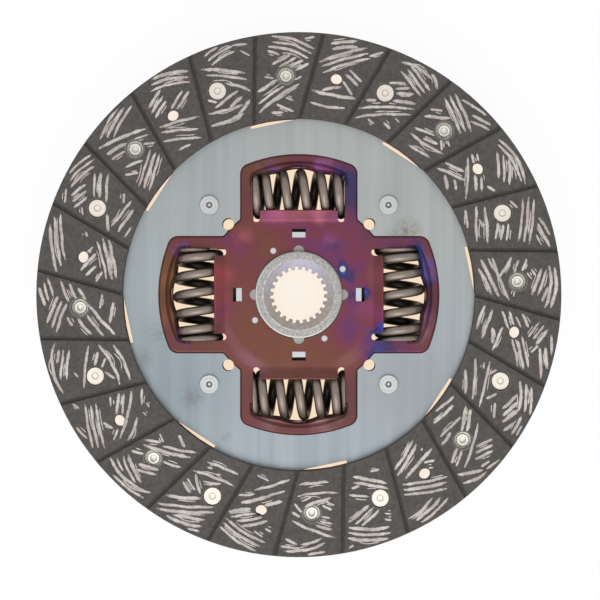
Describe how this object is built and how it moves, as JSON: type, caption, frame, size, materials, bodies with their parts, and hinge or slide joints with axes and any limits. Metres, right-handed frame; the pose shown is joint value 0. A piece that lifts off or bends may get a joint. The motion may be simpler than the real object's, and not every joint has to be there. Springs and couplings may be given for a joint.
{
  "type": "clutch disc",
  "caption": "Round clutch disc with grooved friction rings on both faces, waved cushion paddles and a splined hub that turns a little against coil springs.",
  "frame": {"origin": "on the bore axis, at the middle of the disc plate's thickness", "axes": "+Z along the bore towards the flywheel side, +X and +Y through the middles of two spring windows"},
  "size_m": [0.225, 0.225, 0.0291],
  "materials": {
    "facing": "dull moulded friction material with pale yarn",
    "disc_steel": "satin blue-grey spring steel",
    "tinted_steel": "heat-tinted pressed steel, brown to purple and blue",
    "hub_steel": "matt grey forged steel",
    "spring_steel": "satin brown-grey spring wire",
    "rivet_metal": "dull plated steel",
    "washer_steel": "plain bright steel",
    "resin": "pale moulded resin",
    "friction_resin": "dark friction washer material"
  },
  "bodies": {
    "hub": {"hub": "hub_steel"},
    "disc": {"front_facing": "facing", "rear_facing": "facing", "front_facing_rivets": "rivet_metal", "rear_facing_rivets": "rivet_metal", "disc_plate": "disc_steel", "front_retaining_plate": "tinted_steel", "rear_retaining_plate": "tinted_steel", "hub_bush": "resin", "front_lug_washer": "washer_steel", "rear_lug_washer": "washer_steel", "front_friction_washer": "friction_resin", "rear_friction_washer": "friction_resin", "cone_spring": "spring_steel", "stop_pin_1": "rivet_metal", "stop_pin_2": "rivet_metal", "stop_pin_3": "rivet_metal", "stop_pin_4": "rivet_metal"},
    "springs": {"damper_spring_1": "spring_steel", "damper_spring_2": "spring_steel", "damper_spring_3": "spring_steel", "damper_spring_4": "spring_steel"}
  },
  "joints": [
    {"name": "damper_turn", "type": "hinge", "parent": "hub", "child": "disc", "pos_m": [0, 0, 0], "axis": [0, 0, 1], "range_deg": [-12, 12], "stiffness_Nm_per_rad": 1200, "deforming": ["damper_spring_1", "damper_spring_2", "damper_spring_3", "damper_spring_4"]},
    {"name": "spring_follow", "type": "hinge", "parent": "hub", "child": "springs", "pos_m": [0, 0, 0], "axis": [0, 0, 1], "range_deg": [-6, 6]}
  ],
  "couplings": [
    {"joint": "spring_follow", "follows": "damper_turn", "ratio": 0.5}
  ]
}
